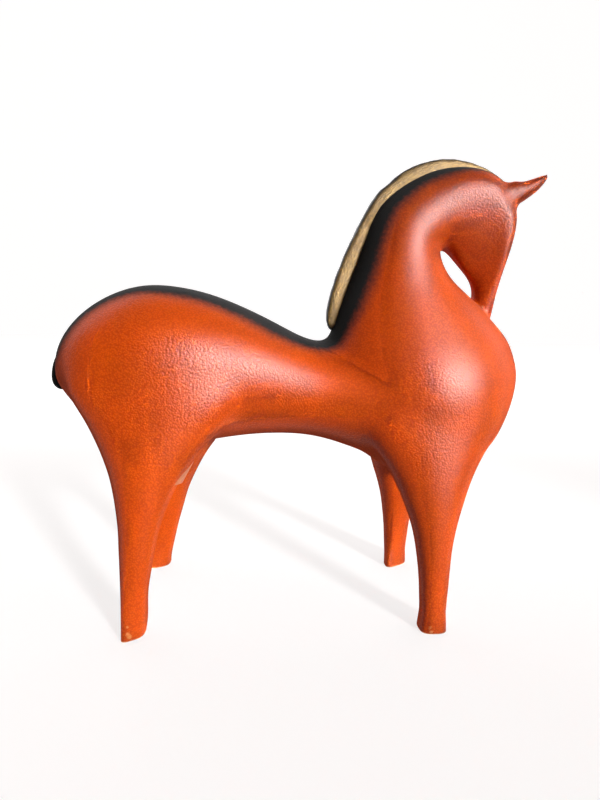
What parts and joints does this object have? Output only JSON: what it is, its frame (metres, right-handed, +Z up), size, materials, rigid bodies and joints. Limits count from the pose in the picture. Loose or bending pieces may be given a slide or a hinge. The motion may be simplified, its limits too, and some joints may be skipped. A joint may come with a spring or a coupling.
{
  "type": "bankura horse",
  "caption": "Stylised hollow clay horse with a bowed head, arched neck, gilded mane and tapering legs, made to stand on a shelf as an ornament.",
  "frame": {"origin": "on the ground under the middle of the object's outline, between the four feet", "axes": "+X points to the head end, +Y to the horse's left, +Z up"},
  "size_m": [0.294, 0.1044, 0.2755],
  "materials": {
    "painted_clay": "sprayed orange paint with a fine pebbled grain, satin, shaded black along the back and beside the mane",
    "gilded_clay": "worn gold leaf, satin",
    "blackened_clay": "sprayed black paint, satin",
    "bare_clay": "unglazed fired clay, matt"
  },
  "bodies": {
    "root": {"rump": "painted_clay", "barrel": "painted_clay", "chest": "painted_clay", "lower_neck": "painted_clay", "upper_neck": "painted_clay", "head": "painted_clay", "left_ear": "painted_clay", "right_ear": "painted_clay", "left_hind_leg": "painted_clay", "right_hind_leg": "painted_clay", "left_front_leg": "painted_clay", "right_front_leg": "painted_clay", "mane": "gilded_clay", "tail": "blackened_clay", "rump_seam_coil": "bare_clay", "chest_seam_coil": "bare_clay", "neck_base_coil": "bare_clay", "neck_middle_coil": "bare_clay", "poll_coil": "bare_clay", "hind_leg_coils": "bare_clay", "front_leg_coils": "bare_clay"}
  },
  "joints": []
}
